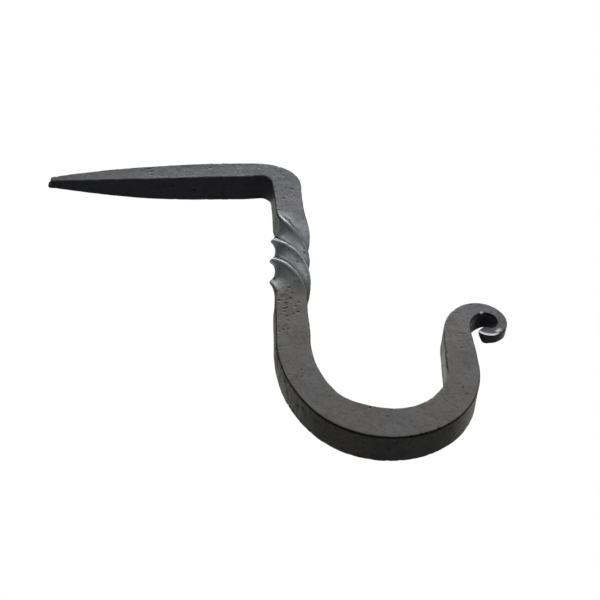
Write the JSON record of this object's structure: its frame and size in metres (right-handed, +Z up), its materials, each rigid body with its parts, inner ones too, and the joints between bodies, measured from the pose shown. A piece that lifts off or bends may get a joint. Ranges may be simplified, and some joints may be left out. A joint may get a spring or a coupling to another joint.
{
  "type": "beam hook",
  "caption": "Forged square-bar hook that is driven into a beam: spike, bent shoulder, twisted shank, open bowl and an outward scroll.",
  "frame": {"origin": "where the spike's axis passes through the face of the beam, which is the plane X = 0 that the back of the neck and shank lie in", "axes": "+Z up as the hook hangs; the spike points along -X into the beam; the hook opens towards +X and up; the hook lies in the XZ plane, about Y = 0"},
  "size_m": [0.1568, 0.0134, 0.1354],
  "materials": {
    "forged_iron": "forge scale under dark wax, satin, finely pitted",
    "ground_scroll": "the same dark waxed scale, with the curled end ground to bare metal at its edge"
  },
  "bodies": {
    "root": {"drive_spike": "forged_iron", "shoulder_bend": "forged_iron", "neck": "forged_iron", "twist": "forged_iron", "shank": "forged_iron", "lead_bend": "forged_iron", "hook_bowl": "forged_iron", "hook_arm": "forged_iron", "scroll_tip": "ground_scroll"}
  },
  "joints": []
}
